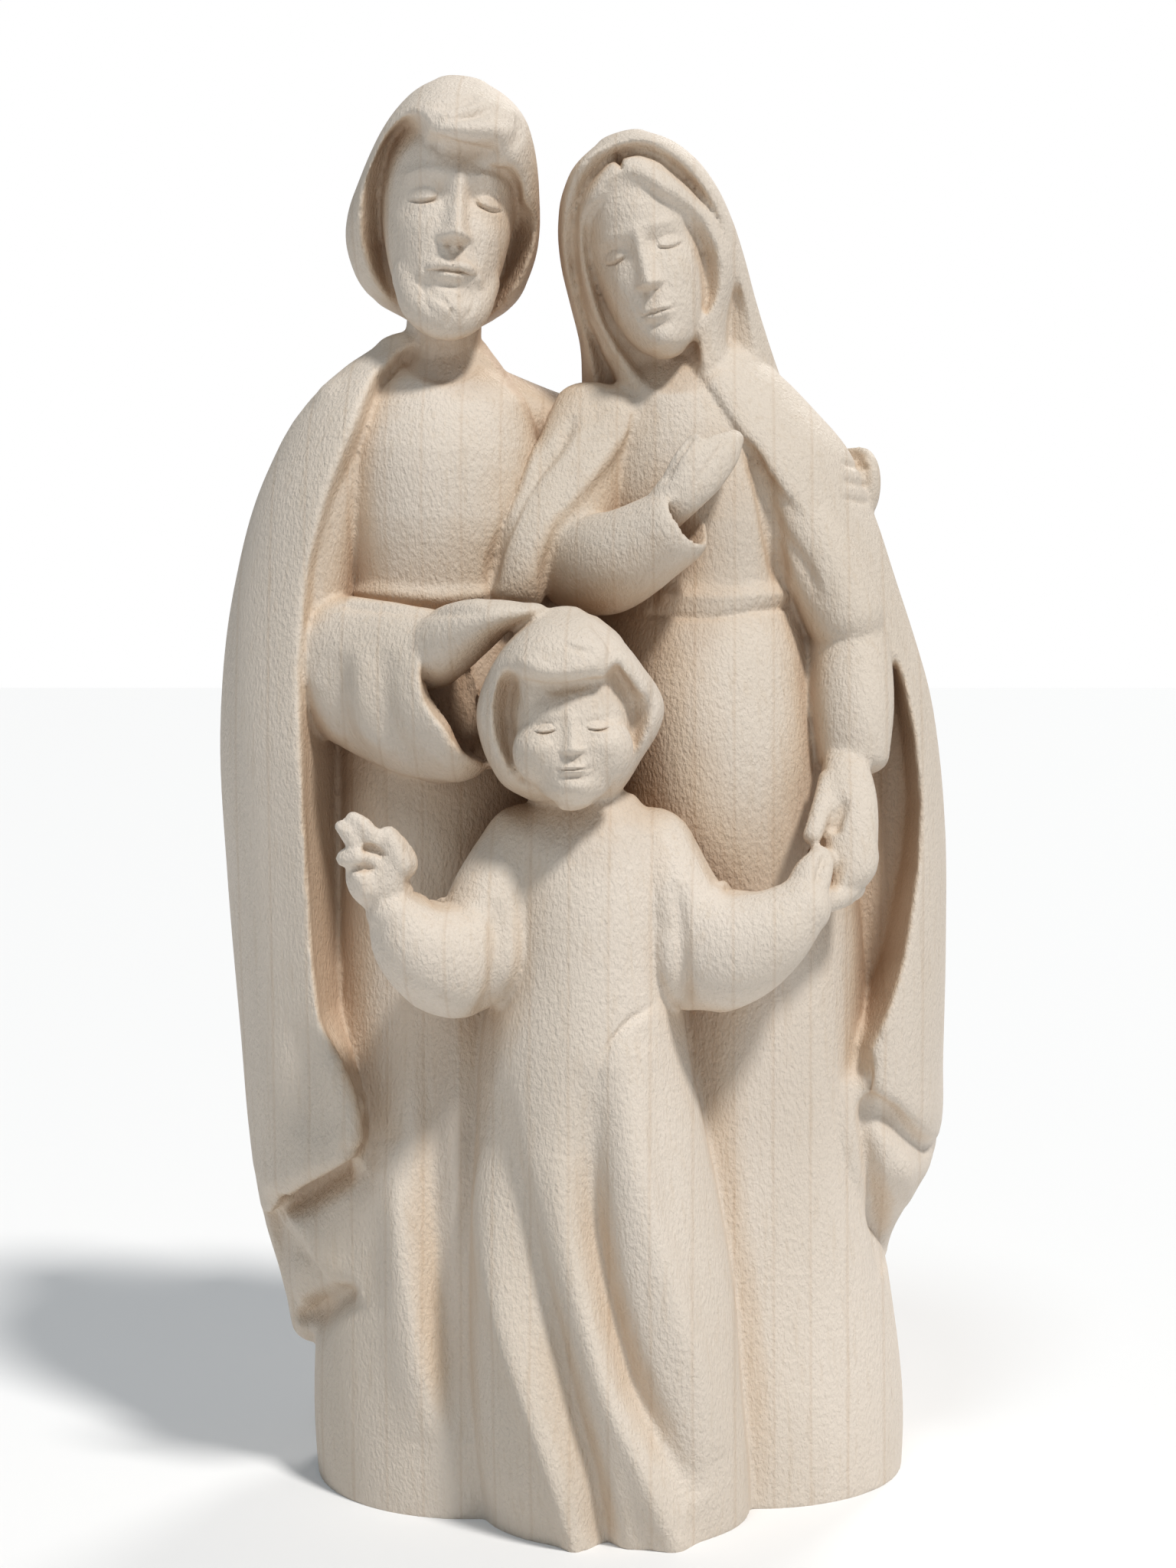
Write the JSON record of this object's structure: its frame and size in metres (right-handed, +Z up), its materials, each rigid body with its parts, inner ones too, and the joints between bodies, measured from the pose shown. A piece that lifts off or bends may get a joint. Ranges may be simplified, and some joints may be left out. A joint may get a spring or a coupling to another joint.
{
  "type": "holy family statue",
  "caption": "Carved wood devotional figure group: robed man and veiled woman standing close behind a child with both arms out, flat underside.",
  "frame": {"origin": "on the flat underside, level with the line between the two standing adults and midway between them", "axes": "+Z up from the underside to the man's crown, -Y the way the three figures face, +X from the man's side to the woman's side"},
  "size_m": [0.1315, 0.0863, 0.25],
  "materials": {
    "maple": "unpainted pale maple, finely sanded, matt"
  },
  "bodies": {
    "root": {"holy_family_group": "maple"}
  },
  "joints": []
}
